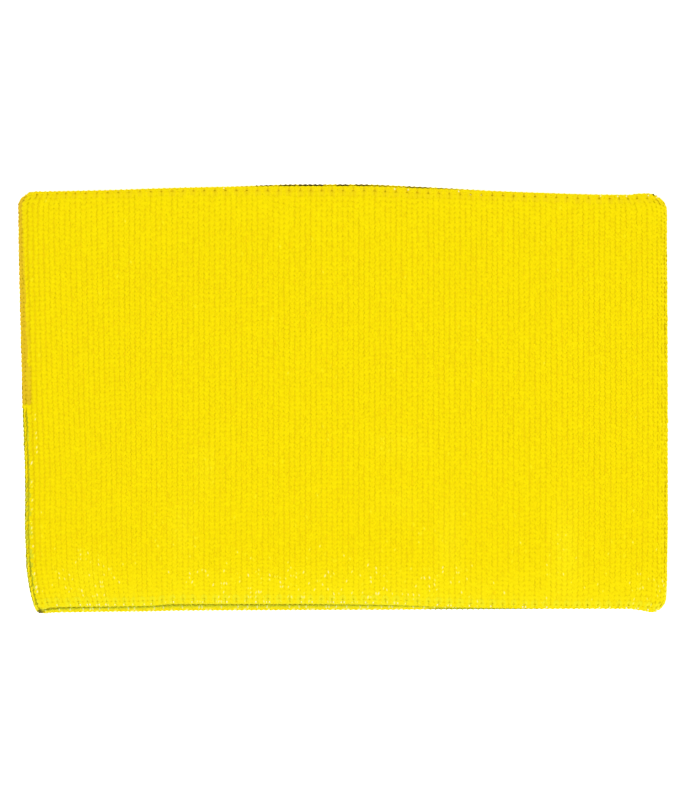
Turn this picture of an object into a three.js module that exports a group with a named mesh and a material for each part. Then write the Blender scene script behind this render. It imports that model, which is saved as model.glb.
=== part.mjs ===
// A plain elastic armband: a seamless rib-knit tube, pressed flat as it lies, with a narrow
// overlocked edge rolled round each open end. The arm goes in along Y.
// Millimetres. +X runs across the flat width, +Y along the arm, +Z up, and it rests on Z = 0.
import * as THREE from 'three';

// The knitted tube
const HALF_WIDTH = 68.2; // middle to the outside of a fold
const FOLD_RADIUS = 4.1; // outside of the fold
const CROWN = 1.6; // how far the top layer rises above the folds at the middle
const WALL = 1.8; // knitted wall with its ribs
const RIB_DEPTH = 0.35; // groove between two ribs
const RIBS = 252; // ribs once round, about 1.12 mm apart
const PRESSED_SHARE = 0.5; // share of a rib that is pressed flat where it rests

// How far each fold lies from the middle, at each section along the arm. Both folds are drawn in
// at the open ends, and the left one runs in further towards the lower opening.
const FOLDS = [
  { y: -44.5, left: 64.9, right: 66.9 },
  { y: -40, left: 65.9, right: 68.0 },
  { y: -34, left: 66.7, right: 68.2 },
  { y: 20, left: 68.1, right: 68.2 },
  { y: 40, left: 68.2, right: 68.2 },
  { y: 44, left: 66.9, right: 66.9 },
];

// Where each open edge lies along the arm, on the top layer and on the layer under it.
const UPPER_EDGE = [
  { x: -62, top: 43.8, under: 43.8 },
  { x: -40, top: 44.1, under: 44.1 },
  { x: -20, top: 44.5, under: 44.8 },
  { x: 0, top: 44.4, under: 45.2 },
  { x: 20, top: 44.3, under: 44.9 },
  { x: 35, top: 43.8, under: 44.0 },
  { x: 48, top: 43.2, under: 43.2 },
  { x: 60, top: 43.0, under: 43.0 },
  { x: 65, top: 43.4, under: 43.4 },
];
const LOWER_EDGE = [
  { x: -63, top: -44.4, under: -45.0 },
  { x: -50, top: -43.9, under: -45.2 },
  { x: -30, top: -43.6, under: -44.7 },
  { x: 2, top: -43.4, under: -44.5 },
  { x: 33, top: -43.9, under: -44.5 },
  { x: 46, top: -44.0, under: -44.2 },
  { x: 60, top: -44.0, under: -44.1 },
  { x: 64.5, top: -44.6, under: -44.6 },
];

// How each corner is rounded, where an open edge is drawn in as it passes round a fold.
const CORNERS = {
  upper: { right: { across: 2.6, along: 1.5 }, left: { across: 4.5, along: 1.7 } },
  lower: { right: { across: 2.6, along: 1.5 }, left: { across: 1.3, along: 1.0 } },
};
const CORNER_SOFTNESS = 0.3; // rounds the lowest point of a drawn-in corner

// The overlocked edges
const HEM_WIDTH = 1.1; // along the arm
const HEM_THICKNESS = 2.1; // through the wall
const HEM_GAP = 0.3; // between an edge and the tube

const YELLOW = 0xf9e10a;
const UPPER = { name: 'upper', sign: 1, edge: UPPER_EDGE };
const LOWER = { name: 'lower', sign: -1, edge: LOWER_EDGE };
const HALF_RIBS = RIBS / 2;
const RIB_PITCH = (2 * (HALF_WIDTH - FOLD_RADIUS) + Math.PI * FOLD_RADIUS) / HALF_RIBS;

// Smooth reading of a table between its rows.
function readTable(rows, key, at, column) {
  const last = rows.length - 1;
  if (at <= rows[0][key]) return rows[0][column];
  if (at >= rows[last][key]) return rows[last][column];
  const i = rows.findIndex((row) => row[key] > at) - 1;
  const share = (at - rows[i][key]) / (rows[i + 1][key] - rows[i][key]);
  return THREE.MathUtils.lerp(rows[i][column], rows[i + 1][column], THREE.MathUtils.smoothstep(share, 0, 1));
}

// The outside of the wall at a rib, counted from the middle of the underside to the right, over
// the top and back. turn is 0 under the tube, 1 on top, and between them round a fold.
function wallAt(rib, y) {
  const onRight = rib < HALF_RIBS;
  const side = onRight ? 1 : -1;
  const halfWidth = readTable(FOLDS, 'y', y, onRight ? 'right' : 'left');
  const flat = halfWidth - FOLD_RADIUS;
  const fold = Math.PI * FOLD_RADIUS;
  const along = ((onRight ? rib : RIBS - rib) / HALF_RIBS) * (2 * flat + fold);
  if (along <= flat) {
    return { x: side * along, z: 0, nx: 0, nz: -1, turn: 0, halfWidth };
  }
  if (along < flat + fold) {
    const angle = (along - flat) / FOLD_RADIUS - Math.PI / 2;
    const nx = side * Math.cos(angle);
    const nz = Math.sin(angle);
    const x = side * flat + FOLD_RADIUS * nx;
    return { x, z: FOLD_RADIUS * (1 + nz), nx, nz, turn: (1 + nz) / 2, halfWidth };
  }
  const out = (2 * flat + fold - along) / flat;
  const slope = (2 * CROWN * out) / flat;
  const length = Math.hypot(slope, 1);
  const z = 2 * FOLD_RADIUS + CROWN * (1 - out * out);
  return { x: side * out * flat, z, nx: (side * slope) / length, nz: 1 / length, turn: 1, halfWidth };
}

// How far an open edge is drawn in at a rounded corner.
function drawnIn(wall, end) {
  const { across, along } = CORNERS[end.name][wall.x > 0 ? 'right' : 'left'];
  const into = Math.max(0, Math.abs(wall.x) - (wall.halfWidth - across)) / across;
  const rise = along * along * Math.max(0, 1 - into * into);
  return Math.max(0, along - Math.sqrt(rise + CORNER_SOFTNESS * CORNER_SOFTNESS));
}

// Where an open edge lies along the arm at a rib.
function edgeY(rib, end) {
  const around = (rib + RIBS) % RIBS;
  const wall = wallAt(around, end.edge[0].top);
  const top = readTable(end.edge, 'x', wall.x, 'top');
  const under = readTable(end.edge, 'x', wall.x, 'under');
  return THREE.MathUtils.lerp(under, top, wall.turn) - end.sign * drawnIn(wall, end);
}

// A place set in from an open edge by a distance that is square to the edge.
function insetY(rib, end, distance) {
  const slope = (edgeY(rib + 0.5, end) - edgeY(rib - 0.5, end)) / RIB_PITCH;
  return edgeY(rib, end) - end.sign * distance * Math.hypot(1, slope);
}

// A point set into the wall from its outside, or out of it where depth is negative.
function wallPoint(rib, y, depth) {
  const wall = wallAt(rib, y);
  return [wall.x - depth * wall.nx, y, Math.max(0, wall.z - depth * wall.nz)];
}

// The stations round the ribbed outside: every half rib, with two on the ribs pressed underneath.
function ribStations() {
  const stations = [];
  for (let rib = 0; rib < RIBS; rib += 1) {
    stations.push({ rib, depth: RIB_DEPTH });
    if (wallAt(rib + 0.5, 0).turn === 0) {
      stations.push({ rib: rib + (1 - PRESSED_SHARE) / 2, depth: 0 });
      stations.push({ rib: rib + (1 + PRESSED_SHARE) / 2, depth: 0 });
    } else {
      stations.push({ rib: rib + 0.5, depth: 0 });
    }
  }
  return stations;
}

// The plain inside and the edges have fewer stations, closest together round a fold.
const PLAIN_STEPS = [
  { until: 46, ribs: 4 },
  { until: 56, ribs: 2 },
  { until: 70, ribs: 1 },
  { until: 80, ribs: 2 },
  { until: HALF_RIBS, ribs: 4 },
];

function plainStations(depth) {
  const right = [];
  let rib = 0;
  for (const step of PLAIN_STEPS) {
    for (; rib < step.until; rib += step.ribs) right.push(rib);
  }
  const left = right.slice(1).map((at) => RIBS - at).reverse();
  return [...right, HALF_RIBS, ...left].map((at) => ({ rib: at, depth }));
}

function closedGeometry(points, faces) {
  const geometry = new THREE.BufferGeometry();
  geometry.setAttribute('position', new THREE.Float32BufferAttribute(points.flat(), 3));
  geometry.setIndex(faces.flat());
  geometry.computeVertexNormals();
  return geometry;
}

// Faces between two loops of points. The loops start at the given indices and run the same way.
function bandFaces(first, second, count) {
  const faces = [];
  for (let i = 0; i < count; i += 1) {
    const next = (i + 1) % count;
    faces.push([first + i, second + i, second + next], [first + i, second + next, first + next]);
  }
  return faces;
}

// Faces across the wall's thickness at an open end, from the ribbed outside to the plain inside.
function rimFaces(outer, outerStart, inner, innerStart) {
  const faces = [];
  let i = 0;
  let k = 0;
  while (i < outer.length || k < inner.length) {
    const a = outerStart + (i % outer.length);
    const b = innerStart + (k % inner.length);
    const nextOuter = i < outer.length ? (outer[i + 1]?.rib ?? RIBS) : Infinity;
    const nextInner = k < inner.length ? (inner[k + 1]?.rib ?? RIBS) : Infinity;
    if (nextOuter <= nextInner) {
      i += 1;
      faces.push([a, outerStart + (i % outer.length), b]);
    } else {
      k += 1;
      faces.push([a, innerStart + (k % inner.length), b]);
    }
  }
  return faces;
}

const turned = (faces) => faces.map(([a, b, c]) => [a, c, b]);

function knitTubeGeometry() {
  const outside = ribStations();
  const inside = plainStations(WALL);
  const lastSection = FOLDS.length - 1;
  const points = [];
  const sectionY = (rib, section) => {
    if (section === 0) return insetY(rib, LOWER, HEM_WIDTH + HEM_GAP);
    if (section === lastSection) return insetY(rib, UPPER, HEM_WIDTH + HEM_GAP);
    return FOLDS[section].y;
  };
  const addLoop = (stations, section) => {
    const start = points.length;
    for (const { rib, depth } of stations) points.push(wallPoint(rib, sectionY(rib, section), depth));
    return start;
  };
  const loops = FOLDS.map((_, section) => ({
    outer: addLoop(outside, section),
    inner: addLoop(inside, section),
  }));
  const faces = [];
  for (let section = 0; section < lastSection; section += 1) {
    const here = loops[section];
    const next = loops[section + 1];
    faces.push(...bandFaces(here.outer, next.outer, outside.length));
    faces.push(...turned(bandFaces(here.inner, next.inner, inside.length)));
  }
  const last = loops[lastSection];
  faces.push(...rimFaces(outside, loops[0].outer, inside, loops[0].inner));
  faces.push(...turned(rimFaces(outside, last.outer, inside, last.inner)));
  return closedGeometry(points, faces);
}

// The overlocked edge has a flattened oval section and rests flat like the tube.
const HEM_SECTION = [
  { out: 1, along: -0.5 },
  { out: 1, along: 0.5 },
  { out: 0.55, along: 1 },
  { out: -0.55, along: 1 },
  { out: -1, along: 0.5 },
  { out: -1, along: -0.5 },
  { out: -0.55, along: -1 },
  { out: 0.55, along: -1 },
];

function hemGeometry(end) {
  const stations = plainStations(WALL / 2);
  const sides = HEM_SECTION.length;
  const points = [];
  const faces = [];
  stations.forEach(({ rib, depth }, k) => {
    for (const { out, along } of HEM_SECTION) {
      const inset = (HEM_WIDTH / 2) * (1 - end.sign * along);
      points.push(wallPoint(rib, insetY(rib, end, inset), depth - (out * HEM_THICKNESS) / 2));
    }
    faces.push(...turned(bandFaces(k * sides, ((k + 1) % stations.length) * sides, sides)));
  });
  return closedGeometry(points, faces);
}

function piece(name, geometry, roughness) {
  const material = new THREE.MeshStandardMaterial({ color: YELLOW, roughness, metalness: 0 });
  const mesh = new THREE.Mesh(geometry, material);
  mesh.name = name;
  return mesh;
}

const armband = new THREE.Group();
armband.add(piece('knit_tube', knitTubeGeometry(), 0.95));
armband.add(piece('upper_rolled_hem', hemGeometry(UPPER), 0.85));
armband.add(piece('lower_rolled_hem', hemGeometry(LOWER), 0.85));

export default armband;
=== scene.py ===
import math

import bpy
import numpy as np
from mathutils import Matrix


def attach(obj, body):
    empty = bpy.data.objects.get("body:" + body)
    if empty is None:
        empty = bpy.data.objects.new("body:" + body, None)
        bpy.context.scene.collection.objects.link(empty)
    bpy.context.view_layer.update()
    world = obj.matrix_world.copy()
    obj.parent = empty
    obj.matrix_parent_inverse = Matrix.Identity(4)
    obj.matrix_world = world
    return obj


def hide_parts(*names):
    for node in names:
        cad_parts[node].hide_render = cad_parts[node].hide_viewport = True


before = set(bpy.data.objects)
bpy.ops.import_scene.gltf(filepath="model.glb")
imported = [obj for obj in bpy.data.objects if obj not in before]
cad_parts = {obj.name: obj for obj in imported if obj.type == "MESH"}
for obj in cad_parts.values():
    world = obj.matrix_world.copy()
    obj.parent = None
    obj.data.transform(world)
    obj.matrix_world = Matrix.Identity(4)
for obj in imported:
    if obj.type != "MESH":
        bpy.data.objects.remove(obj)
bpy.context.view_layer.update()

# The knitted tube
# A seamless tube of one-by-one rib, knitted in the round from textured polyester and covered elastic
# yarn. It lies pressed flat: the layer underneath rests on the table and the top layer bridges the folds.
# Sizes are in millimetres. A rib is 1.12 mm wide and a course, one row of stitches, is 1 mm high.
MM = 0.001
RIBS = 252
HALF_RIBS = RIBS // 2
COURSES = 88
HALF_WIDTH = 68.2
FOLD_RADIUS = 4.1
CROWN = 1.6
WALL = 1.8
# The ground lies this deep below the loops, and a little deeper still in the holes between them.
GROUND_DEPTH = 0.18
HOLE_DEPTH = 0.07
rng = np.random.default_rng(7)

# How far each fold is drawn in from its full width; the left one runs in towards the lower opening.
# The draw starts at one distance from the middle and grows over the next.
TAPER = dict(
    start=34,
    over=28,
    y=np.array([-45.0, -43.0, -41.5, -39.0, -35.0, -25.0, -17.0, -9.0, 0.0, 16.0, 33.0, 46.0]),
    left=np.array([3.5, 2.95, 2.5, 2.0, 1.52, 1.24, 1.26, 1.0, 0.68, 0.28, -0.1, -0.22]),
    right=np.array([0.3, 0.15, 0.05, -0.08, -0.12, -0.25, -0.25, -0.25, -0.25, -0.2, -0.1, -0.1]),
)
# Where the ribs lie round the tube, counted in ribs of even width: the left fold stretches its ribs
# half as wide again, and the layer underneath gives way to them.
FOLD_STRETCH = dict(
    rib=np.array([0, 60, 130, 182, 183, 184, 185, 186, 187, 188, 189, 190, 252.0]),
    place=np.array([0, 60, 130, 182, 183, 184, 185.1, 186.6, 188.2, 189.8, 191.3, 192.6, 252.0]),
)
# Where the two open edges lie along the arm, on the top layer and on the layer under it, how wide
# their rolled hems are there, and how far the corners are rounded.
EDGES = dict(
    upper=dict(
        sign=1,
        level=44.0,
        x=np.array([-64.0, -50.0, -36.0, -22.0, -9.0, 3.0, 16.0, 28.0, 42.0, 54.0, 60.0, 62.5, 65.0]),
        top=np.array([43.45, 43.75, 44.2, 44.5, 44.6, 44.6, 44.15, 43.75, 43.2, 42.85, 42.8, 43.1, 43.1]),
        under=np.array(
            [43.4, 43.7, 44.15, 44.75, 45.15, 45.15, 44.65, 44.0, 43.2, 42.8, 42.8, 43.2, 43.15]
        ),
        top_hem=np.array([0.3, 0.3, 0.4, 0.6, 0.74, 0.74, 0.72, 0.72, 0.6, 0.6, 0.6, 0.75, 0.8]),
        under_hem=np.full(13, 0.8),
        corner=dict(left=3.3, right=3.9),
    ),
    lower=dict(
        sign=-1,
        level=-44.4,
        x=np.array([-64, -61.5, -57, -48, -41, -35, -12, 8, 20, 28, 46, 60.3, 62.3, 66.0]),
        top=-np.array(
            [44.1, 43.9, 43.78, 43.72, 43.59, 43.19, 43.18, 43.34, 43.74, 43.9, 44.15, 44.2, 44.5, 44.95]
        ),
        under=-np.array(
            [45.6, 45.2, 45.12, 45.0, 44.95, 44.8, 44.68, 44.6, 44.48, 44.45, 44.36, 44.2, 44.55, 45.0]
        ),
        top_hem=np.array([0.8, 0.8, 0.8, 0.8, 0.8, 0.85, 0.85, 0.85, 0.75, 0.6, 0.5, 0.5, 0.6, 0.6]),
        under_hem=np.array(
            [0.85, 0.95, 1.12, 1.17, 1.24, 1.38, 1.32, 1.15, 0.78, 0.7, 0.75, 0.75, 0.75, 0.75]
        ),
        corner=dict(left=0.5, right=3.0),
    ),
)
# The corners are cut back over this much of each end of the width.
CORNER = dict(start=55, over=9)
# Soft swells of the top layer: how high, and where their waves run. They die out over the last quarter
# of the way to each fold.
SWELLS = [
    dict(height=0.12, across=0.045, along=0.020, start=0.4),
    dict(height=0.10, across=-0.028, along=0.052, start=1.9),
    dict(height=0.07, across=0.081, along=-0.035, start=4.0),
]
SWELL_PART = 4


def through(xs, ys, at):
    """A smooth curve through the rows of a table, which never swings past them."""
    rise = np.diff(ys) / np.diff(xs)
    before, after = rise[np.r_[0, 0 : len(rise)]], rise[np.r_[0 : len(rise), len(rise) - 1]]
    same_way = before * after > 0
    slope = np.where(same_way, 2 * before * after / np.where(same_way, before + after, 1.0), 0.0)
    i = np.clip(np.searchsorted(xs, at) - 1, 0, len(xs) - 2)
    step = xs[i + 1] - xs[i]
    t = np.clip((at - xs[i]) / step, 0, 1)
    rise = (1 + 2 * t) * (1 - t) ** 2 * ys[i] + t * t * (3 - 2 * t) * ys[i + 1]
    return rise + step * (t * (1 - t) ** 2 * slope[i] - t * t * (1 - t) * slope[i + 1])


def ease(value):
    """A soft step from 0 to 1."""
    t = np.clip(value, 0, 1)
    return t * t * (3 - 2 * t)


def rounding(into, radius):
    """How far a rounded corner has fallen back, at a distance into it. Each of the two directions
    makes one half of the quarter circle."""
    u = np.clip(into, 0, math.sqrt(0.5) * radius)
    return radius - np.sqrt(radius * radius - u * u)


def wall_at(rib, y):
    """The outside of the wall at a rib, counted from the middle underneath to the right and back over
    the top: place, direction out of the wall, and turn, which is 0 underneath and 1 on top."""
    rib = through(FOLD_STRETCH["rib"], FOLD_STRETCH["place"], np.mod(rib, RIBS))
    on_right = rib < HALF_RIBS
    side = np.where(on_right, 1.0, -1.0)
    flat = HALF_WIDTH - FOLD_RADIUS
    fold = math.pi * FOLD_RADIUS
    along = np.where(on_right, rib, RIBS - rib) / HALF_RIBS * (2 * flat + fold)
    angle = np.clip((along - flat) / FOLD_RADIUS, 0, math.pi) - math.pi / 2
    over = along > flat + fold
    out = np.where(along < flat, along, np.where(over, 2 * flat + fold - along, flat))
    width = out + FOLD_RADIUS * np.cos(angle)
    share = out / flat
    z = FOLD_RADIUS * (1 + np.sin(angle)) + over * CROWN * (1 - share**2)
    lean = over * 2 * CROWN * share / flat
    nx = side * (np.cos(angle) + lean)
    nz = np.sin(angle)
    length = np.hypot(nx, nz)
    turn = (1 + np.sin(angle)) / 2
    right_taper = through(TAPER["y"], TAPER["right"], y)
    left_taper = through(TAPER["y"], TAPER["left"], y)
    taper = np.where(on_right, right_taper, left_taper)
    cut = 0
    for edge in EDGES.values():
        radius = np.where(on_right, edge["corner"]["right"], edge["corner"]["left"])
        level = np.where(on_right, edge["top"][-1], edge["top"][0])
        cut = cut + rounding(edge["sign"] * (y - level) + radius, radius)
    draw = taper * ease((width - TAPER["start"]) / TAPER["over"])
    corner = cut * ease((width - CORNER["start"]) / CORNER["over"])
    width = width - draw - corner
    x = side * width
    swell = sum(s["height"] * np.sin(s["across"] * x + s["along"] * y + s["start"]) for s in SWELLS)
    z = z + swell * over * np.minimum(1, (1 - share) * SWELL_PART)
    return x, z, nx / length, nz / length, turn


# An edge's place is found in a few rounds that start this far in from it, and its folds are measured
# just inside it.
EDGE_ROUNDS = 4
ROUNDS_FROM = 9
FOLDS_FROM = 2


def edge_at(rib, edge):
    """Where an open edge lies along the arm at a rib, and how wide its hem is there."""
    sign = edge["sign"]
    y = np.full_like(rib, edge["level"] - ROUNDS_FROM * sign)
    x, _, _, _, turn = wall_at(rib, y)
    radius = np.where(x > 0, edge["corner"]["right"], edge["corner"]["left"])
    inside_y = edge["level"] - FOLDS_FROM * sign
    right_taper = through(TAPER["y"], TAPER["right"], inside_y)
    left_taper = through(TAPER["y"], TAPER["left"], inside_y)
    full = HALF_WIDTH - np.where(x > 0, right_taper, left_taper)
    for _ in range(EDGE_ROUNDS):
        top = through(edge["x"], edge["top"], x)
        under = through(edge["x"], edge["under"], x)
        y = under + (top - under) * turn - sign * rounding(np.abs(x) - (full - radius), radius)
        x = wall_at(rib, y)[0]
    hem = through(edge["x"], edge["under_hem"], x)
    hem = hem + (through(edge["x"], edge["top_hem"], x) - hem) * turn
    return y, hem


# The edge of the cloth rolls over with this radius.
ROLL = 0.6


def edge_fall(rib, y):
    """How deep the surface has rolled over at a place near an open edge."""
    fall = 0
    for edge in EDGES.values():
        past = ROLL - edge["sign"] * (edge_at(rib, edge)[0] - y)
        fall = fall + ROLL - np.sqrt(ROLL * ROLL - np.clip(past, 0, ROLL) ** 2)
    return fall


# The knitting ends this far inside the level of an edge, a slit away from its hem, and its courses follow
# the edge over the fade length.
EDGE_MARGIN = 1.3
SLIT = 0.28
FADE_LENGTH = 9.0
# The stitches of the edges pull a hole into the last course at every second rib.
HOLE_PULL = dict(depth=0.1, ribs=0.4, courses=0.6)


def from_hole(rib):
    """How many ribs away the nearest stitch hole of the edges is."""
    return rib - 2 * np.round(rib / 2)


def knit_y(rib, course):
    """Where a course lies along the arm. The courses follow the edges only close to them."""
    share = course / COURSES
    low = EDGES["lower"]["level"] + EDGE_MARGIN
    high = EDGES["upper"]["level"] - EDGE_MARGIN
    length = high - low
    y_low, hem_low = edge_at(rib, EDGES["lower"])
    y_high, hem_high = edge_at(rib, EDGES["upper"])
    near_low = np.exp(-((share * length / FADE_LENGTH) ** 2))
    near_high = np.exp(-(((1 - share) * length / FADE_LENGTH) ** 2))
    from_low = (y_low + hem_low + SLIT - low) * near_low
    from_high = (y_high - hem_high - SLIT - high) * near_high
    dent = HOLE_PULL["depth"] * np.exp(-((from_hole(rib) / HOLE_PULL["ribs"]) ** 2))
    at_low = np.exp(-((course / HOLE_PULL["courses"]) ** 2))
    at_high = np.exp(-(((COURSES - course) / HOLE_PULL["courses"]) ** 2))
    return low + share * length + from_low + from_high + dent * (at_low - at_high)


def set_in(rib, y, depth):
    """Points set into the wall by a depth from its outside, kept above the table."""
    x, z, nx, nz, _ = wall_at(rib, y)
    return np.stack([x - depth * nx, y, np.maximum(z - depth * nz, 0)], -1)


# The surface is turned round the tube and up its courses, with a little to spare on each side.
SPARE_RIBS = 4
SPARE_COURSES = 3
SHARP_ANGLE = math.radians(80)


def new_piece(name, points, faces, rib, course, painted_light=0.0, gold=0.0, shade_and_spots=0.0):
    """A mesh piece from points in millimetres, with each point's place in the knitting and its painted
    tones of light and shade.
    """
    mesh = bpy.data.meshes.new(name)
    sides = faces.shape[1]
    mesh.vertices.add(len(points))
    mesh.vertices.foreach_set("co", (points * MM).astype(np.float32).ravel())
    mesh.loops.add(faces.size)
    mesh.loops.foreach_set("vertex_index", faces.astype(np.int32).ravel())
    mesh.polygons.add(len(faces))
    mesh.polygons.foreach_set("loop_start", np.arange(len(faces), dtype=np.int32) * sides)
    tones = dict(rib=rib, course=course, painted_light=painted_light, gold=gold, shade_and_spots=shade_and_spots)
    for title, values in tones.items():
        layer = mesh.attributes.new(title, "FLOAT", "POINT")
        layer.data.foreach_set("value", np.broadcast_to(values, len(points)).astype(np.float32))
    u = rib[faces]
    u = np.where(u.max(1, keepdims=True) - u > HALF_RIBS, u + RIBS, u) / (RIBS + SPARE_RIBS)
    v = (course[faces] + SPARE_COURSES) / (COURSES + 2 * SPARE_COURSES)
    layout = mesh.uv_layers.new(name="OFBake")
    layout.uv.foreach_set("vector", np.stack([u, v], -1).astype(np.float32).ravel())
    mesh.update(calc_edges=True)
    mesh.validate()
    mesh.shade_smooth()
    mesh.set_sharp_from_angle(angle=SHARP_ANGLE)
    piece = bpy.data.objects.new(name, mesh)
    bpy.context.collection.objects.link(piece)
    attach(piece, "root")
    return piece


# The grooves between the ribs are a little deeper above the lower part of the band.
GROOVES = dict(depth=0.13, low=0.9, more=0.3, from_course=20, over=16)


def rib_relief(rib, course):
    """How deep the wall's surface lies at a rib: a rounded back with a narrow groove each side."""
    rise = ease((course - GROOVES["from_course"]) / GROOVES["over"])
    deep = GROOVES["depth"] * (GROOVES["low"] + GROOVES["more"] * rise)
    return deep * (0.5 + 0.5 * np.cos(2 * math.pi * np.mod(rib, 1.0)))


# Broad patches painted a little paler than the rest: painted light.
LIGHT_PATCHES = [
    dict(rib=84.3, course=11, wide=2.6, high=9, amount=0.32),
    dict(rib=106, course=12, wide=2.6, high=9, amount=0.20),
    dict(rib=115, course=21, wide=4, high=4, amount=0.12),
    dict(rib=115, course=34, wide=5, high=3, amount=0.14),
    dict(rib=152, course=29, wide=2.5, high=5, amount=0.16),
    dict(rib=156, course=15, wide=2.5, high=7, amount=0.20),
    dict(rib=175, course=5, wide=4, high=5, amount=0.25),
    dict(rib=126, course=0, wide=80, high=6, amount=0.28),
]
PALEST = 0.5


def light_patch_of(rib, course):
    """How much painted light makes the yarn paler at a place in the knitting."""
    light_patch = 0
    for patch in LIGHT_PATCHES:
        across = (rib - patch["rib"]) / patch["wide"]
        up = (course - patch["course"]) / patch["high"]
        light_patch = light_patch + patch["amount"] * np.exp(-(across**2 + up**2))
    return np.minimum(light_patch, PALEST)


# The outside of the wall has a row of points every second course, and the inside one every eighth with
# more at its lower mouth. The backs of the ribs show faintly on the inside.
GROUND_COLUMNS = 2
GROUND_ROWS = 44
INNER_ROWS = GROUND_ROWS // 4
MOUTH_ROWS = [2.5, 1.5, 0]
INNER_RELIEF = 0.6
ground_rib = np.arange(RIBS * GROUND_COLUMNS) / GROUND_COLUMNS
ground_course = np.linspace(0, COURSES, GROUND_ROWS + 1)
outer_rib, outer_course = np.meshgrid(ground_rib, ground_course)
outer_depth = GROUND_DEPTH + HOLE_DEPTH + rib_relief(outer_rib, outer_course)
outer = set_in(outer_rib, knit_y(outer_rib, outer_course), outer_depth)
inner_course = np.append(np.linspace(COURSES, 0, INNER_ROWS + 1)[:-1], MOUTH_ROWS)
inner_rib, inner_course = np.meshgrid(ground_rib, inner_course)
inner_depth = WALL - INNER_RELIEF * rib_relief(inner_rib + 0.5, inner_course)
inner = set_in(inner_rib, knit_y(inner_rib, inner_course), inner_depth)
# Painted shade: the groove that the left fold stretches open is painted dark and olive below the middle of
# the fold, and the inside of the wall is painted olive at its lower mouth. All the rest of the ground is a
# little golden.
SHADED_GROOVE = dict(rib=186, last_course=42, least=0.4, more=0.6, shade_and_spots=0.45, olive=0.8)
MOUTH = dict(last_course=2, olive=0.6)
GROUND_GOLD = 0.15
groove = (outer_rib == SHADED_GROOVE["rib"]) & (outer_course < SHADED_GROOVE["last_course"])
uneven = SHADED_GROOVE["least"] + SHADED_GROOVE["more"] * rng.random(outer_rib.shape)
groove_shade = SHADED_GROOVE["shade_and_spots"] * groove * uneven
outer_gold = GROUND_GOLD - SHADED_GROOVE["olive"] * groove
inner_gold = np.where(inner_course < MOUTH["last_course"], -MOUTH["olive"], 0.0)
rings = np.concatenate([outer, inner])
around, up = rings.shape[1], rings.shape[0]
here = np.arange(around)
ahead = (here + 1) % around
faces = []
for k in range(up):
    low, high = k * around, (k + 1) % up * around
    faces.append(np.stack([low + here, low + ahead, high + ahead, high + here], -1))
ground = new_piece(
    "rib_knit_ground",
    rings.reshape(-1, 3),
    np.concatenate(faces),
    np.concatenate([outer_rib, inner_rib]).ravel(),
    np.concatenate([outer_course, inner_course]).ravel(),
    # The ground takes the painted light of the pale patches, and painted shade in the open groove and at
    # the mouth.
    painted_light=np.concatenate([light_patch_of(outer_rib, outer_course), 0 * inner_course]).ravel(),
    gold=np.concatenate([outer_gold, inner_gold]).ravel(),
    shade_and_spots=np.concatenate([groove_shade, 0 * inner_course]).ravel(),
)
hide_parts("knit_tube")


def linear(code):
    """A hex colour as Blender's linear numbers."""
    parts = [int(code[i : i + 2], 16) / 255 for i in (1, 3, 5)]
    return [c / 12.92 if c <= 0.04045 else ((c + 0.055) / 1.055) ** 2.4 for c in parts] + [1.0]


def add(tree, kind, inputs, **settings):
    """Adds a node with its settings, links and values."""
    node = tree.nodes.new(kind)
    for key, value in settings.items():
        setattr(node, key, value)
    for socket, value in inputs.items():
        if isinstance(value, bpy.types.NodeSocket):
            tree.links.new(value, node.inputs[socket])
        else:
            node.inputs[socket].default_value = value
    return node


# Dyed textured polyester is matt, a little mottled and streaked along the ribs where the yarn took more or
# less dye. It is painted paler where its fine filaments catch the light: painted highlights.
YARN = "#F7E304"
YARN_DEEP = "#F2DA05"
# Painted light: the lemon yarn makes the pale patches, and the pale yarn the painted highlights.
PAINTED_LIGHT_YARN = "#F8E610"
PAINTED_GLINT_YARN = "#FFF6DC"
# Painted shade: the gold stands in for yarn in shade on the left fold and round the upper stitch holes. The
# olive stands in for shade along the lower edge, in the open groove and at the mouth. The darkest tone
# stands in for deep shade and also makes two dark spots.
YARN_GOLD = "#E2BD20"
OLIVE_SHADE_YARN = "#E0F03C"
SHADE_AND_SPOT_YARN = "#2A2C10"
# The pattern is laid out in ribs and courses. The mottle is about 1.4 mm across and the streaks 1.2 mm wide
# and 8 mm long. The bundles of filaments are drawn 0.09 mm wide, coarser than real ones, so that they show.
MOTTLES_PER_RIB = 0.8
STREAKS = (0.9, 0.12, 1.0)
FILAMENTS_PER_RIB = 12
FILAMENTS_PER_COURSE = FILAMENTS_PER_RIB / 3
BUMP_HEIGHT = 0.05 * MM
knit_yarn = bpy.data.materials.new("dyed textured polyester yarn")
knit_yarn.use_nodes = True
tree = knit_yarn.node_tree
surface = tree.nodes["Principled BSDF"]
rib_at = add(tree, "ShaderNodeAttribute", {}, attribute_name="rib").outputs["Fac"]
course_at = add(tree, "ShaderNodeAttribute", {}, attribute_name="course").outputs["Fac"]
place = add(tree, "ShaderNodeCombineXYZ", {"X": rib_at, "Y": course_at}).outputs[0]
mottle = add(
    tree, "ShaderNodeTexNoise", {"Vector": place, "Scale": MOTTLES_PER_RIB, "Detail": 3.0}
).outputs["Fac"]
long_place = add(tree, "ShaderNodeMapping", {"Vector": place, "Scale": STREAKS}).outputs[0]
streak = add(
    tree, "ShaderNodeTexNoise", {"Vector": long_place, "Scale": 1.0, "Detail": 2.0}
).outputs["Fac"]
dye = add(tree, "ShaderNodeMix", {0: 0.35, 2: mottle, 3: streak}).outputs[0]
dye = add(tree, "ShaderNodeMapRange", {"Value": dye, "From Min": 0.3, "From Max": 0.7}).outputs[0]
colour = add(
    tree, "ShaderNodeMix", {0: dye, 6: linear(YARN), 7: linear(YARN_DEEP)}, data_type="RGBA"
).outputs[2]
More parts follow.
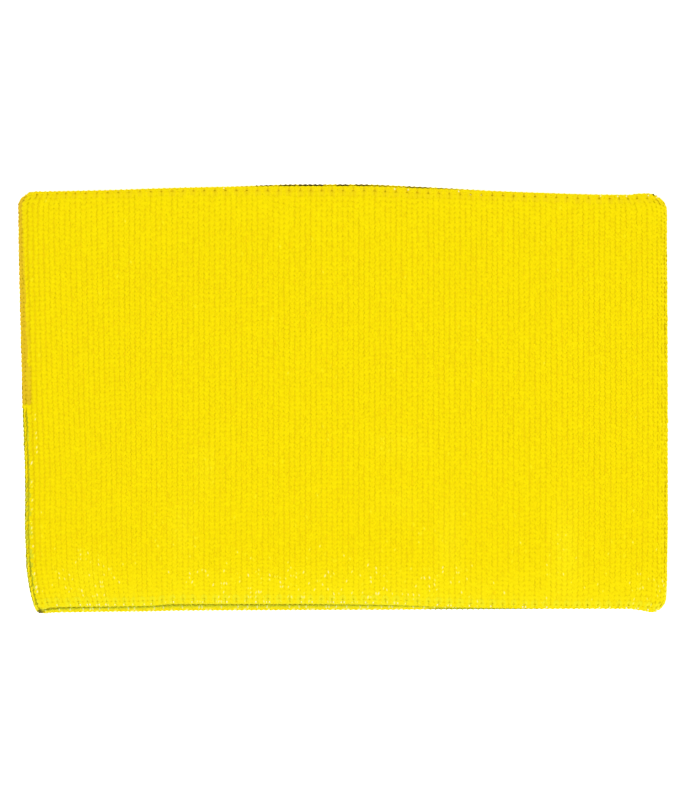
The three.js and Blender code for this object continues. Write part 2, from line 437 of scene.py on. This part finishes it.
# The tones that the meshes carry: painted light and highlights, golden and olive yarn that is painted shade
# in most places, and dark painted shade with two dark spots.
tones = [
    dict(tone="painted_light", code=PAINTED_LIGHT_YARN, low=0.0, high=0.5),
    dict(tone="painted_light", code=PAINTED_GLINT_YARN, low=0.5, high=1.0),
    dict(tone="gold", code=YARN_GOLD, low=0.0, high=1.0),
    dict(tone="gold", code=OLIVE_SHADE_YARN, low=0.0, high=-1.0),
    dict(tone="shade_and_spots", code=SHADE_AND_SPOT_YARN, low=0.0, high=1.0),
]
for row in tones:
    value = add(tree, "ShaderNodeAttribute", {}, attribute_name=row["tone"]).outputs["Fac"]
    amount = add(
        tree, "ShaderNodeMapRange", {"Value": value, "From Min": row["low"], "From Max": row["high"]}
    ).outputs[0]
    colour = add(
        tree, "ShaderNodeMix", {0: amount, 6: colour, 7: linear(row["code"])}, data_type="RGBA"
    ).outputs[2]
tree.links.new(colour, surface.inputs["Base Color"])
roughness = add(
    tree, "ShaderNodeMapRange", {"Value": mottle, "To Min": 0.78, "To Max": 0.94}
).outputs[0]
tree.links.new(roughness, surface.inputs["Roughness"])
fine = (FILAMENTS_PER_RIB, FILAMENTS_PER_COURSE, 1.0)
fine_place = add(tree, "ShaderNodeMapping", {"Vector": place, "Scale": fine}).outputs[0]
filaments = add(
    tree, "ShaderNodeTexNoise", {"Vector": fine_place, "Scale": 1.0, "Detail": 1.0}
).outputs["Fac"]
bump = add(
    tree, "ShaderNodeBump", {"Height": filaments, "Strength": 0.15, "Distance": BUMP_HEIGHT}
).outputs[0]
tree.links.new(bump, surface.inputs["Normal"])
surface.inputs["Specular IOR Level"].default_value = 0.03
ground.data.materials.append(knit_yarn)

# The knit loops
# Each stitch, 1.12 mm wide and 1 mm high, shows on the face as two legs of yarn about half a millimetre
# thick, which rise out of the stitch below and lean apart. They sink into the ground at both ends.
LEG_FOOT = 0.3
LEG_LENGTH = 1.42
LEG_SIDES = 3
YARN_RADIUS = 0.125
# The rows of a leg from its foot to its head, with where its painted highlight lies. The layer underneath
# lies on the table and is made with one row less.
FACE_LEG = dict(
    t=np.array([0.0, 0.22, 0.52, 0.82, 1.0]),
    aside=np.array([0.04, 0.12, 0.22, 0.31, 0.35]),
    half_width=np.array([0.0, 0.20, 0.25, 0.22, 0.0]),
    height=np.array([-0.12, 0.04, 0.06, 0.03, -0.12]),
    glint=np.array([0.0, 0.7, 1.0, 0.7, 0.0]),
)
UNDER_LEG = dict(
    t=np.array([0.0, 0.30, 0.74, 1.0]),
    aside=np.array([0.04, 0.15, 0.27, 0.33]),
    half_width=np.array([0.0, 0.24, 0.23, 0.0]),
    height=np.array([-0.10, 0.05, 0.05, -0.10]),
    glint=np.array([0.0, 0.3, 0.3, 0.0]),
)
# The three points of a leg's section, and how much of the painted highlight its sides take.
SECTION = dict(
    across=np.array([0.0, -1.0, 1.0]),
    up=np.array([1.0, 0.1, 0.1]),
)
SIDE_GLINT = 0.4

# The grooves that the left fold stretches open, and how far.
OPEN_GROOVES = [
    dict(rib=186, courses=(0, 41), gap=0.13),
    dict(rib=185, courses=(2, 88), gap=0.08),
    dict(rib=184, courses=(0, 88), gap=0.06),
    dict(rib=183, courses=(24, 88), gap=0.05),
    dict(rib=182, courses=(24, 88), gap=0.03),
]
# Painted highlights where loops catch the light: the share of them that do, and how brightly at least and
# at most.
GLINTS = [
    dict(ribs=(60, 190), courses=(14, 88), share=0.004, amount=(0.5, 0.6)),
    dict(ribs=(60, 190), courses=(7, 14), share=0.02, amount=(0.5, 0.68)),
    dict(ribs=(60, 190), courses=(-1, 7), share=0.05, amount=(0.5, 0.75)),
    dict(ribs=(170, 182), courses=(1, 12), share=0.16, amount=(0.5, 0.75)),
    dict(ribs=(126, 156), courses=(7, 12), share=0.06, amount=(0.5, 0.65)),
    dict(ribs=(126, 156), courses=(-1, 7), share=0.18, amount=(0.5, 0.8)),
    dict(ribs=(102, 126), courses=(-1, 8), share=0.14, amount=(0.5, 0.8)),
    dict(ribs=(87, 88), courses=(1, 12), share=0.30, amount=(0.5, 0.7)),
    dict(ribs=(84, 86), courses=(9, 15), share=0.30, amount=(0.5, 0.65)),
    dict(ribs=(66, 73), courses=(-1, 5), share=0.16, amount=(0.5, 0.75)),
    dict(ribs=(62, 66), courses=(-1, 9), share=0.15, amount=(0.5, 0.8)),
    dict(ribs=(150, 154), courses=(26, 33), share=0.14, amount=(0.5, 0.6)),
    dict(ribs=(111, 119), courses=(33, 37), share=0.12, amount=(0.5, 0.6)),
    dict(ribs=(106, 113), courses=(13, 19), share=0.12, amount=(0.5, 0.62)),
    dict(ribs=(153, 162), courses=(9, 20), share=0.08, amount=(0.5, 0.62)),
    dict(ribs=(184, 184.5), courses=(32, 41), share=0.70, amount=(0.55, 0.75)),
    dict(ribs=(185, 185.5), courses=(2, 31), share=0.55, amount=(0.55, 0.95)),
    dict(ribs=(183.5, 184), courses=(9, 22), share=0.35, amount=(0.5, 0.65)),
]


def glint_of(rib, course):
    """How bright a painted highlight the middle of each leg takes."""
    glint = np.zeros(len(rib))
    for spot in GLINTS:
        inside = (rib >= spot["ribs"][0]) & (rib < spot["ribs"][1])
        inside &= (course >= spot["courses"][0]) & (course < spot["courses"][1])
        chosen = inside & (rng.random(len(rib)) < spot["share"])
        low, high = spot["amount"]
        glint = np.where(chosen, low + (high - low) * rng.random(len(rib)), glint)
    return glint


# The side of the left fold is painted golden above its middle as painted shade, where it turns away from
# the light, over more ribs in some places, and so is a short stretch of the rib beside it.
GOLD_SHADE_BAND = dict(
    amount=0.95,
    fade=0.6,
    wider=0.3,
    last_rib=192,
    first_course=42.8,
    course=np.array([43.0, 45.0, 48.0, 52.0, 56.5, 67.0, 83.0, 88.0]),
    first_rib=np.array([184.9, 184.95, 185.7, 185.5, 185.25, 185.6, 185.9, 185.95]),
)
GOLD_SHADE_STRETCH = dict(ribs=(185.0, 185.5), courses=(44, 51), amount=0.6)
# Below the middle it is darkened with painted shade, most along its outline, and turns olive where that
# shows.
SHADE_OLIVE = dict(amount=0.4, shade_and_spots=0.1)
SHADED_FOLD = [
    dict(ribs=(186.5, 189), courses=(0, 42), least=0.25, more=0.35),
    dict(ribs=(186, 186.5), courses=(9, 28), least=0.0, more=0.28),
    dict(ribs=(185.5, 186), courses=(1, 28), least=-0.12, more=0.34),
]


def fold_gold_shade_of(rib, course):
    """How golden the yarn of a leg is painted, as shade on the left fold."""
    start = through(GOLD_SHADE_BAND["course"], GOLD_SHADE_BAND["first_rib"], course)
    inside = (rib < GOLD_SHADE_BAND["last_rib"]) & (course > GOLD_SHADE_BAND["first_course"])
    band = GOLD_SHADE_BAND["amount"] * ease((rib - start) / GOLD_SHADE_BAND["fade"] + 0.5) * inside
    beside = (rib > GOLD_SHADE_STRETCH["ribs"][0]) & (rib < GOLD_SHADE_STRETCH["ribs"][1])
    beside &= (course > GOLD_SHADE_STRETCH["courses"][0]) & (course < GOLD_SHADE_STRETCH["courses"][1])
    return np.maximum(band, GOLD_SHADE_STRETCH["amount"] * beside)


def fold_dark_shade_of(rib, course):
    """How much painted shade darkens the legs on the left fold, each by its own chance."""
    shade_and_spots = 0
    for patch in SHADED_FOLD:
        inside = (rib > patch["ribs"][0]) & (rib < patch["ribs"][1])
        inside &= (course >= patch["courses"][0]) & (course < patch["courses"][1])
        shade_and_spots = np.maximum(shade_and_spots, inside * (patch["least"] + patch["more"] * rng.random(len(rib))))
    return shade_and_spots


# Painted shade: the yarn is more olive round the stitch holes of the lower edge, and more golden round
# those of the upper.
HOLE_SHADE = dict(ribs=0.6, olive=0.35, gold=0.4)


def hole_shade_of(rib, course):
    """How much the painted shade round the holes takes from the gold of a leg."""
    near = np.exp(-((from_hole(rib) / HOLE_SHADE["ribs"]) ** 2))
    olive = HOLE_SHADE["olive"] * np.exp(-((course + 0.5) ** 2))
    gold = HOLE_SHADE["gold"] * np.exp(-((COURSES - 0.5 - course) ** 2))
    return near * (olive - gold)


# The ribs waver a little from side to side, and their courses are not quite level with each other.
WAVER = [dict(aside=0.035, along=0.10, pace=0.13), dict(aside=0.030, along=0.08, pace=0.41)]
WAVER_FADE = 4
RIB_LEVEL = dict(spread=0.28, most=0.45)
waver_phase = 2 * math.pi * rng.random((2, len(WAVER), RIBS))
waver_level = np.clip(
    RIB_LEVEL["spread"] * rng.standard_normal(RIBS), -RIB_LEVEL["most"], RIB_LEVEL["most"]
)


def waver(rib, course):
    """How far a loop is drawn aside, in ribs, and along, in courses."""
    rib = rib.astype(int) % RIBS
    aside, along = 0, waver_level[rib]
    for k, wave in enumerate(WAVER):
        aside = aside + wave["aside"] * np.sin(wave["pace"] * course + waver_phase[0, k, rib])
        along = along + wave["along"] * np.sin(wave["pace"] * course + waver_phase[1, k, rib])
    inside = ease((course + 1) / WAVER_FADE) * ease((COURSES - course) / WAVER_FADE)
    return aside, along * inside


# How far the loops beside a stitch hole are spread, and how far across and along that reaches.
HOLE_PUSH = dict(aside=0.14, ribs=0.6, along=0.5)


def push_from_holes(rib, y):
    """How far the stitches of an edge spread the loops sideways round each hole."""
    push = 0
    for edge in EDGES.values():
        line, hem = edge_at(rib, edge)
        line = line - edge["sign"] * (hem + SLIT / 2)
        off = from_hole(rib)
        near = -(((y - line) / HOLE_PUSH["along"]) ** 2) - (off / HOLE_PUSH["ribs"]) ** 2
        push = push + HOLE_PUSH["aside"] * np.sign(off) * np.exp(near)
    return push


# How unlike each other the legs are, in width, height, side shift and how much painted light they take, how
# much wider they are near the open edges, how far every second rib is let down, and how clear they stay of
# the edge itself.
UNLIKE = dict(width=0.17, height=0.03, aside=0.025)
PALENESS = dict(least=0.8, more=0.4)
WIDER_AT_EDGE = dict(amount=0.2, courses=7)
RIB_DROP = 0.02
CLEAR_OF_EDGE = 0.03


def loops(name, first_rib, last_rib, leg):
    """One mesh of all the legs of yarn from one rib to another."""
    ribs = np.arange(first_rib, last_rib)
    courses = np.arange(-1, COURSES + 1)
    rib, course, side = [
        a.ravel() for a in np.meshgrid(ribs, courses, np.array([-1.0, 1.0]), indexing="ij")
    ]
    count = len(rib)
    reach = WIDER_AT_EDGE["courses"]
    near_edge = np.exp(-((course / reach) ** 2)) + np.exp(-(((COURSES - course) / reach) ** 2))
    loose = 1 + WIDER_AT_EDGE["amount"] * near_edge + UNLIKE["width"] * rng.standard_normal(count)
    lift = UNLIKE["height"] * rng.standard_normal(count) - RIB_DROP * (rib % 2)
    stray = UNLIKE["aside"] * rng.standard_normal(count)
    aside, along = waver(rib, course)
    mid_rib = rib[:, None] + 0.5 + side[:, None] * leg["aside"] + (stray + aside)[:, None]
    for groove in OPEN_GROOVES:
        near = (rib + (side > 0) == groove["rib"]) & (course >= groove["courses"][0])
        near &= course < groove["courses"][1]
        mid_rib -= (near * side * groove["gap"])[:, None]
    mid_course = (course + along)[:, None] - LEG_FOOT + LEG_LENGTH * leg["t"]
    mid_rib += push_from_holes(mid_rib, knit_y(mid_rib, mid_course))
    leg_rib = rib + 0.5 + 0.25 * side
    # The painted light, painted highlights and painted shade of each leg.
    light_patch = light_patch_of(leg_rib, course) * (PALENESS["least"] + PALENESS["more"] * rng.random(count))
    glint = glint_of(leg_rib, course)
    gold = fold_gold_shade_of(leg_rib, course)
    wide = leg["half_width"] * (loose + GOLD_SHADE_BAND["wider"] * (gold > 0))[:, None]
    shade_and_spots = fold_dark_shade_of(leg_rib, course)
    gold = gold - SHADE_OLIVE["amount"] * (shade_and_spots > SHADE_OLIVE["shade_and_spots"]) - hole_shade_of(leg_rib, course)
    points, at_rib, at_course, painted_light = [], [], [], []
    for k, half_width in enumerate(leg["half_width"]):
        for across, up in zip(SECTION["across"], SECTION["up"]):
            if half_width == 0:
                up = 0.0
            here_rib = mid_rib[:, k] + across * wide[:, k]
            height = leg["height"][k] + lift + up * YARN_RADIUS
            y = knit_y(here_rib, mid_course[:, k])
            for edge in EDGES.values():
                last_y = edge["sign"] * edge_at(here_rib, edge)[0] - CLEAR_OF_EDGE
                y = edge["sign"] * np.minimum(edge["sign"] * y, last_y)
            relief = rib_relief(mid_rib[:, k], mid_course[:, k])
            depth = GROUND_DEPTH + relief - height + edge_fall(here_rib, y)
            points.append(set_in(here_rib, y, depth))
            at_rib.append(here_rib)
            at_course.append(mid_course[:, k])
            crest = 1.0 if across == 0 else SIDE_GLINT
            painted_light.append(np.maximum(light_patch, glint * crest * leg["glint"][k]))
            if half_width == 0:
                break
    points = np.stack(points, 1)
    per_leg = points.shape[1]
    rings = len(leg["t"]) - 2
    faces = []
    # The triangles of a leg: a fan at its foot, quads in two halves between its rings, a fan at its head.
    for s in range(LEG_SIDES):
        n = (s + 1) % LEG_SIDES
        faces.append([0, 1 + n, 1 + s])
        for k in range(rings - 1):
            a, b = 1 + k * LEG_SIDES, 1 + (k + 1) * LEG_SIDES
            faces.append([a + s, a + n, b + n])
            faces.append([a + s, b + n, b + s])
        last = 1 + (rings - 1) * LEG_SIDES
        faces.append([last + s, last + n, per_leg - 1])
    faces = np.array(faces)
    faces = (faces[None] + np.arange(count)[:, None, None] * per_leg).reshape(-1, 3)
    piece = new_piece(
        name,
        points.reshape(-1, 3),
        faces,
        np.mod(np.stack(at_rib, 1).ravel(), RIBS),
        np.stack(at_course, 1).ravel(),
        np.stack(painted_light, 1).ravel(),
        np.repeat(gold, per_leg),
        np.repeat(shade_and_spots, per_leg),
    )
    piece.data.materials.append(knit_yarn)
    return piece


# The six pieces of loops, with their first rib and the one after their last.
LOOP_PIECES = [
    ("under_right_loops", 0, 57, UNDER_LEG),
    ("right_fold_loops", 57, 80, FACE_LEG),
    ("top_right_loops", 80, 126, FACE_LEG),
    ("top_left_loops", 126, 172, FACE_LEG),
    ("left_fold_loops", 172, 195, FACE_LEG),
    ("under_left_loops", 195, 252, UNDER_LEG),
]
loop_pieces = [loops(*facts) for facts in LOOP_PIECES]

# The open edges
# Each raw edge is rolled to a bead and overlocked with the same yarn: a looper yarn passes over the
# edge and back once every two ribs, and a needle yarn runs along the inside of the roll.
HEM_THICKNESS = 2.0
EDGE_STITCHES = RIBS // 2
THREAD_RADIUS = 0.15


def edge_place(rib, edge, out, depth):
    """Points near an open edge: out is 0 at the inside of the hem and 1 at the edge."""
    y, hem = edge_at(rib, edge)
    return set_in(rib, y - edge["sign"] * hem * (1 - out), depth)


def tube_along(path, radius, sides, name, rib, painted_light, gold, shade_and_spots):
    """A closed round thread along a closed path."""
    count = len(path)
    forward = np.roll(path, -1, 0) - np.roll(path, 1, 0)
    forward /= np.linalg.norm(forward, axis=1, keepdims=True)
    up = np.array([0.0, 0.0, 1.0])
    aside = np.cross(forward, up)
    aside /= np.maximum(np.linalg.norm(aside, axis=1, keepdims=True), 1e-9)
    lift = np.cross(aside, forward)
    angle = 2 * math.pi * np.arange(sides) / sides
    ring = path[:, None] + radius * (
        np.cos(angle)[None, :, None] * aside[:, None] + np.sin(angle)[None, :, None] * lift[:, None]
    )
    k = np.arange(count)[:, None]
    s = np.arange(sides)[None]
    nk, ns = (k + 1) % count, (s + 1) % sides
    faces = np.stack([k * sides + s, nk * sides + s, nk * sides + ns, k * sides + ns], -1).reshape(-1, 4)
    points = ring.reshape(-1, 3)
    points[:, 2] = np.maximum(points[:, 2], 0)
    course = np.tile(COURSES * np.arange(sides) / sides, count)
    tones = [np.repeat(tone, sides) for tone in (painted_light, gold, shade_and_spots)]
    return new_piece(name, points, faces, np.repeat(rib, sides), course, *tones)


# Where the edge threads are painted dark: painted shade in dashes along the middle of the upper edge of the
# layer underneath and along the outside of its lower edge on the right, and a dark spot near each of two
# corners.
SHADE_FADE = dict(upper=0.3, lower=4.0)
SHADE_DASHES = [
    dict(title="upper", start=-18.4, end=-15.0, shade_and_spots=0.75),
    dict(title="upper", start=-13.4, end=-9.9, shade_and_spots=0.85),
    dict(title="upper", start=-9.4, end=-3.8, shade_and_spots=0.95),
    dict(title="upper", start=-1.4, end=1.2, shade_and_spots=0.95),
    dict(title="upper", start=2.5, end=5.4, shade_and_spots=0.85),
    dict(title="upper", start=5.4, end=9.6, shade_and_spots=0.4),
    dict(title="upper", start=13.4, end=18.4, shade_and_spots=0.7),
    dict(title="upper", start=19.8, end=21.6, shade_and_spots=0.6),
    dict(title="upper", start=22.3, end=24.6, shade_and_spots=0.6),
    dict(title="upper", start=26.0, end=29.6, shade_and_spots=0.25),
    dict(title="lower", start=18.0, end=43.0, shade_and_spots=0.6),
    dict(title="lower", start=62.0, end=65.5, shade_and_spots=0.6),
]
DARK_SPOTS = [dict(x=65.1, y=42.7, radius=0.45), dict(x=-63.7, y=-44.9, radius=0.85)]
# Painted shade: the crease, where the lower hem of the layer underneath goes in under the top layer, is
# olive with faint dark dashes. The lip of the top layer is a little olive too, and so is the rim below it
# on the right.
CREASE = dict(olive=0.8, olive_to=0.5, shade_and_spots=0.12, shade_to=0.45, pace=5.6, sway=1.3, sway_pace=0.9)
LIP = dict(olive=0.4, end=20, fade=8)
RIM = dict(olive_from=0.5, shade_from=0.35, start=16, end=45, fade_in=8, fade_out=5)
ACROSS_FADE = 0.3
UPPER_FACE = 0.45


def layers_of(path, depth):
    """Which points are on the layer underneath, and which of these on its upper face."""
    below = path[:, 2] < FOLD_RADIUS
    return below, below * (depth > UPPER_FACE * WALL)


def shade_and_spots_of(title, path, depth, out):
    """How dark the edge threads are painted at each point of a path: painted shade, and the two dark spots.
    """
    shade_and_spots = 0
    x = path[:, 0]
    fade = SHADE_FADE[title]
    for dash in SHADE_DASHES:
        if dash["title"] == title:
            here = ease((x - dash["start"]) / fade + 0.5) * ease((dash["end"] - x) / fade + 0.5)
            shade_and_spots = np.maximum(shade_and_spots, dash["shade_and_spots"] * here)
    below, inside = layers_of(path, depth)
    if title == "upper":
        shade_and_spots = shade_and_spots * inside
    else:
        dashes = 0.5 + 0.5 * np.sin(CREASE["pace"] * x + CREASE["sway"] * np.sin(CREASE["sway_pace"] * x))
        crease = inside * ease((CREASE["shade_to"] - out) / ACROSS_FADE)
        shade_and_spots = shade_and_spots * below * ease((out - RIM["shade_from"]) / ACROSS_FADE)
        shade_and_spots = shade_and_spots + CREASE["shade_and_spots"] * dashes * crease
    for spot in DARK_SPOTS:
        away = np.hypot(x - spot["x"], path[:, 1] - spot["y"]) / spot["radius"]
        shade_and_spots = np.maximum(shade_and_spots, np.exp(-(away**4)))
    return shade_and_spots


def olive_shade_of(title, path, depth, out):
    """How olive, as painted shade, the threads of the lower edge are, as a negative amount of gold."""
    if title == "upper":
        return 0 * depth
    x = path[:, 0]
    below, inside = layers_of(path, depth)
    crease = CREASE["olive"] * inside * ease((CREASE["olive_to"] - out) / ACROSS_FADE)
    lip = LIP["olive"] * ~below * ease((LIP["end"] - x) / LIP["fade"])
    rim = below * ease((x - RIM["start"]) / RIM["fade_in"]) * ease((RIM["end"] - x) / RIM["fade_out"])
    return -crease - (lip + rim) * ease((out - RIM["olive_from"]) / ACROSS_FADE)


# Painted highlights where the looper yarn catches the light, and the share of its passes that do, there and
# elsewhere.
PLAIN_SHARE = 0.02
THREAD_GLINTS = dict(
    upper=[dict(x=(-24, 26), share=0.12), dict(x=(52, 68), share=0.35)],
    lower=[dict(x=(-64, 28), share=0.45), dict(x=(28, 68), share=0.2)],
)
# The bead is a little thinner than the whole hem, is pinched between the ribs and has a squarish section.
# On the layer underneath it takes painted highlights in short dashes along its crest, more of them on the
# left.
BEAD_STEPS_PER_RIB = 2
BEAD_SIDES = 10
BEAD = dict(thickness=HEM_THICKNESS - 0.3, pinch=0.25, square=0.7)
BEAD_GLINTS = dict(
    amount=0.85, angle=math.radians(310), spread=math.radians(32), split=20, left=0.35, right=0.1
)
# A looper yarn goes this far round the bead, rests longer at its two ends than between them, and reaches a
# little past the edge. It takes a painted highlight where it crosses over.
THREAD_SIDES = 6
LOOPER_STEPS = 14
LOOPER = dict(turn=math.radians(160), rest=0.8, reach=0.54, sink=0.12)
CROSSING = dict(angle=math.radians(108), spread=math.radians(38))
# A needle yarn dips into a stitch hole at every second rib, where it takes the painted shade of the hole.
NEEDLE_STEPS = 8
NEEDLE_DEPTH = 0.08
NEEDLE_DIP = dict(upper=0.35, lower=0.2)
DIP_SHARPNESS = 6
DIP_SHADE = 0.5
for title, edge in EDGES.items():
    steps = RIBS * BEAD_STEPS_PER_RIB
    rib = np.arange(steps) / BEAD_STEPS_PER_RIB
    angle = 2 * math.pi * np.arange(BEAD_SIDES) / BEAD_SIDES
    grid_rib, grid_angle = np.meshgrid(rib, angle, indexing="ij")
    pinch = 1 - BEAD["pinch"] * (0.5 + 0.5 * np.cos(2 * math.pi * grid_rib))
    out = 0.5 + 0.5 * pinch * np.cos(grid_angle)
    squared = np.sign(np.sin(grid_angle)) * np.abs(np.sin(grid_angle)) ** BEAD["square"]
    depth = (WALL + GROUND_DEPTH) / 2 - 0.5 * BEAD["thickness"] * pinch * squared
    points = edge_place(grid_rib, edge, out, depth).reshape(-1, 3)
    k = np.arange(steps)[:, None]
    s = np.arange(BEAD_SIDES)[None]
    nk, ns = (k + 1) % steps, (s + 1) % BEAD_SIDES
    quads = [k * BEAD_SIDES + s, k * BEAD_SIDES + ns, nk * BEAD_SIDES + ns, nk * BEAD_SIDES + s]
    if edge["sign"] < 0:
        quads = quads[::-1]
    on_left = points[:, 0].reshape(steps, -1)[:, 0] < BEAD_GLINTS["split"]
    share = np.where(on_left, BEAD_GLINTS["left"], BEAD_GLINTS["right"])
    bright = np.repeat(rng.random(steps // 2), 2) < share
    crest = np.exp(-(((grid_angle - BEAD_GLINTS["angle"]) / BEAD_GLINTS["spread"]) ** 2))
    below = points[:, 2] < FOLD_RADIUS
    glint = (BEAD_GLINTS["amount"] * bright[:, None] * crest).ravel() * below * (title == "lower")
    bead = new_piece(
        f"{title}_rolled_edge",
        points,
        np.stack(quads, -1).reshape(-1, 4),
        grid_rib.ravel(),
        np.tile(COURSES * np.arange(BEAD_SIDES) / BEAD_SIDES, steps),
        painted_light=glint,
        gold=olive_shade_of(title, points, depth.ravel(), out.ravel()),
        shade_and_spots=shade_and_spots_of(title, points, depth.ravel(), out.ravel()),
    )
    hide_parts(f"{title}_rolled_hem")

    at = np.arange(EDGE_STITCHES * LOOPER_STEPS) / LOOPER_STEPS
    swing = np.cos(2 * math.pi * at)
    turn_angle = LOOPER["turn"] * np.sign(swing) * np.abs(swing) ** LOOPER["rest"]
    out = 0.5 + LOOPER["reach"] * np.cos(turn_angle)
    depth = (WALL + GROUND_DEPTH) / 2 - (0.5 * HEM_THICKNESS - LOOPER["sink"]) * np.sin(turn_angle)
    path = edge_place(2 * at, edge, out, depth)
    share = PLAIN_SHARE
    for zone in THREAD_GLINTS[title]:
        within = (path[:, 0] > zone["x"][0]) & (path[:, 0] < zone["x"][1])
        share = np.where(within, zone["share"], share)
    chosen = rng.random(EDGE_STITCHES * 2).repeat(LOOPER_STEPS // 2) < share
    crossing = np.exp(-(((np.abs(turn_angle) - CROSSING["angle"]) / CROSSING["spread"]) ** 2))
    looper = tube_along(
        path,
        THREAD_RADIUS,
        THREAD_SIDES,
        f"{title}_looper_yarn",
        rib=2 * at,
        painted_light=chosen * crossing,
        gold=olive_shade_of(title, path, depth, out),
        shade_and_spots=shade_and_spots_of(title, path, depth, out),
    )

    at = np.arange(EDGE_STITCHES * NEEDLE_STEPS) / NEEDLE_STEPS
    dip = np.abs(np.cos(math.pi * at)) ** DIP_SHARPNESS
    _, hem = edge_at(2 * at, edge)
    depth = GROUND_DEPTH + NEEDLE_DEPTH + NEEDLE_DIP[title] * dip
    needle = tube_along(
        edge_place(2 * at, edge, -0.5 * SLIT / hem, depth),
        THREAD_RADIUS,
        THREAD_SIDES,
        f"{title}_needle_yarn",
        rib=2 * at,
        painted_light=0 * at,
        gold=DIP_SHADE * edge["sign"] * dip,
        shade_and_spots=0 * at,
    )
    for piece in (bead, looper, needle):
        piece.data.materials.append(knit_yarn)

# The table, the light and the camera
# The armband lies on a plain white table under soft light from above and from the right, seen from
# straight above.
FLOOR_SIZE = 6.0
bpy.ops.mesh.primitive_plane_add(size=FLOOR_SIZE, location=(0, 0, -0.00006))
floor = bpy.context.object
floor.name = "table_top"
# A white laminate board, moulded matt, which is lit from within a little so that it stays plain white.
white = bpy.data.materials.new("white matt laminate")
white.use_nodes = True
laminate = white.node_tree.nodes["Principled BSDF"].inputs
laminate["Base Color"].default_value = linear("#FFFFFF")
laminate["Roughness"].default_value = 0.9
laminate["Specular IOR Level"].default_value = 0.1
laminate["Emission Color"].default_value = linear("#FFFFFF")
laminate["Emission Strength"].default_value = 0.65
floor.data.materials.append(white)

world = bpy.data.worlds.new("soft studio")
bpy.context.scene.world = world
world.use_nodes = True
world.node_tree.nodes["Background"].inputs["Color"].default_value = linear("#FFFFFF")
world.node_tree.nodes["Background"].inputs["Strength"].default_value = 0.5

# Round softboxes, each turned to the band: size in metres, power in watts and place.
SOFTBOXES = [
    dict(name="softbox", size=0.22, power=11.85, place=(-0.04, -0.08, 1.45)),
    dict(name="side softbox", size=0.3, power=0.85, place=(0.95, -0.05, 0.3)),
]
for row in SOFTBOXES:
    light = bpy.data.lights.new(row["name"], "AREA")
    light.shape = "DISK"
    light.size = row["size"]
    light.energy = row["power"]
    softbox = bpy.data.objects.new(row["name"], light)
    bpy.context.collection.objects.link(softbox)
    softbox.location = row["place"]
    softbox.rotation_euler = (-softbox.location).to_track_quat("-Z", "Y").to_euler()

# The camera hangs over the table. At the height of the band's top a pixel is 0.21 mm, and MIDDLE is the
# pixel over the middle of the band.
CAMERA_HEIGHT = 2.0
PIXEL = 0.21 * MM
MIDDLE = (342.75, 398.5)
FRAME = (700, 800)
OBJECT_TOP = 7.0 * MM
camera_data = bpy.data.cameras.new("camera")
camera_data.sensor_width = 36.0
camera_data.lens = 36.0 * (CAMERA_HEIGHT - OBJECT_TOP) / (FRAME[1] * PIXEL)
camera_data.clip_end = 20
camera = bpy.data.objects.new("camera", camera_data)
camera.location = (
    (FRAME[0] / 2 - MIDDLE[0]) * PIXEL,
    (MIDDLE[1] - FRAME[1] / 2) * PIXEL,
    CAMERA_HEIGHT,
)
bpy.context.collection.objects.link(camera)
bpy.context.scene.camera = camera
bpy.context.scene.view_settings.view_transform = "Standard"
